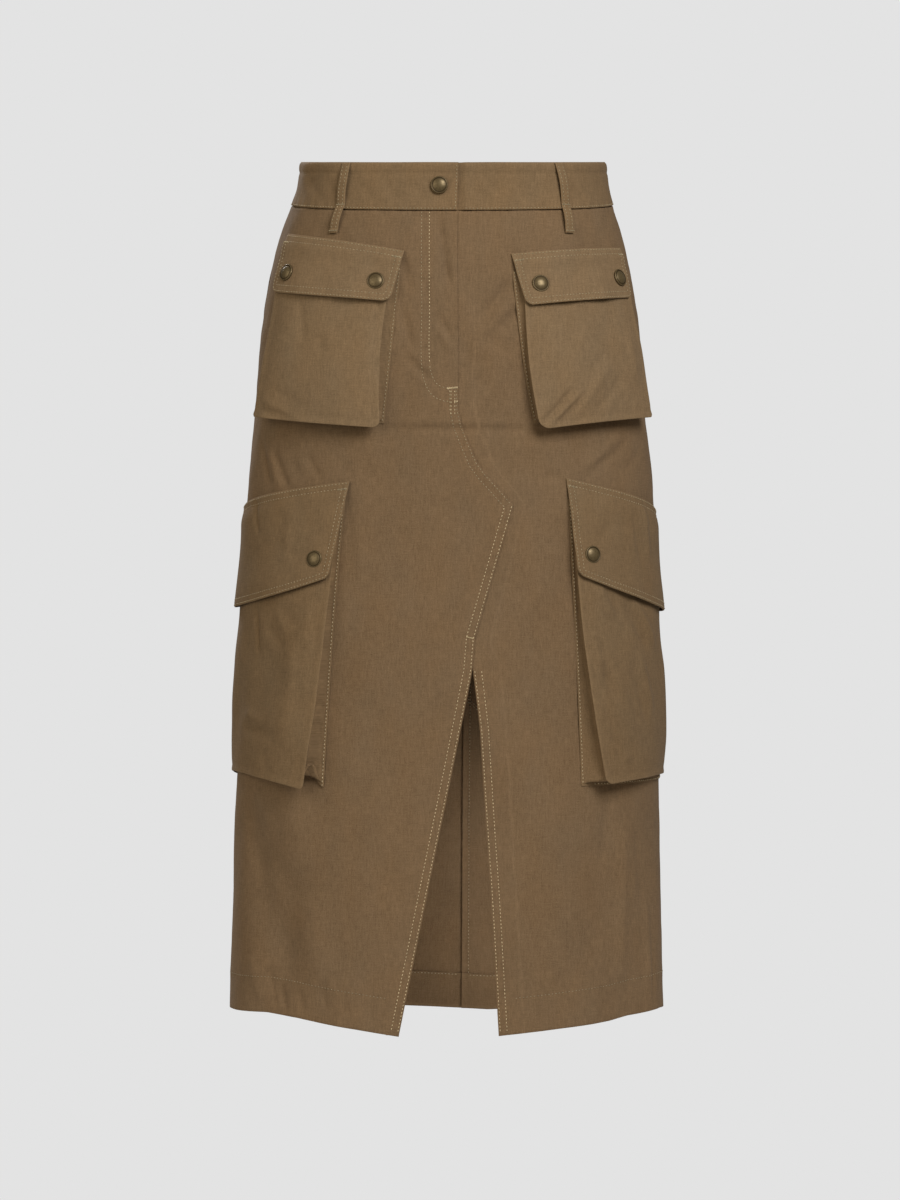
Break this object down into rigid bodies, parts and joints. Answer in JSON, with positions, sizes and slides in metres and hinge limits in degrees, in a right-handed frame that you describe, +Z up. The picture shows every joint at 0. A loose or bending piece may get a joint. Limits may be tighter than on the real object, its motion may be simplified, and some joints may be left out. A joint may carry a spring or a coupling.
{
  "type": "cargo utility skirt",
  "caption": "Long worn-form cotton twill skirt with a snapped waistband, belt loops, bellows pockets with snapped flaps and an open front slit; hollow, open at waist and hem.",
  "frame": {"origin": "Centre of the waist opening, halfway up the waistband, where the wearer's waist holds the skirt.", "axes": "+Z up, out of the waist opening. -Y is the front of the skirt. +X is the wearer's left, which is on the right of a front view."},
  "size_m": [0.3881, 0.2574, 0.7752],
  "materials": {
    "twill_front": "matte olive-brown cotton twill with a fine vertical slub",
    "twill_back": "matte olive-brown cotton twill with a fine vertical slub",
    "twill_band": "matte doubled cotton twill, edge-stitched",
    "twill_pocket": "matte cotton twill, edge-stitched",
    "twill_gusset": "matte cotton twill, folded",
    "antique_brass": "dull antique brass, lightly rubbed"
  },
  "bodies": {
    "root": {"front_right": "twill_front", "front_left": "twill_front", "back_right": "twill_back", "back_left": "twill_back", "waistband_right": "twill_band", "waistband_left": "twill_band", "belt_loop_front_right": "twill_band", "belt_loop_front_left": "twill_band", "belt_loop_back_right": "twill_band", "belt_loop_back_left": "twill_band", "belt_loop_centre_back": "twill_band", "upper_pocket_face_right": "twill_pocket", "upper_pocket_gusset_right": "twill_gusset", "upper_pocket_flap_right": "twill_pocket", "upper_pocket_face_left": "twill_pocket", "upper_pocket_gusset_left": "twill_gusset", "upper_pocket_flap_left": "twill_pocket", "lower_pocket_face_right": "twill_pocket", "lower_pocket_gusset_right": "twill_gusset", "lower_pocket_flap_right": "twill_pocket", "lower_pocket_face_left": "twill_pocket", "lower_pocket_gusset_left": "twill_gusset", "lower_pocket_flap_left": "twill_pocket", "snap_waist": "antique_brass", "snap_upper_outer_right": "antique_brass", "snap_upper_inner_right": "antique_brass", "snap_upper_inner_left": "antique_brass", "snap_upper_outer_left": "antique_brass", "snap_lower_right": "antique_brass", "snap_lower_left": "antique_brass"}
  },
  "joints": []
}
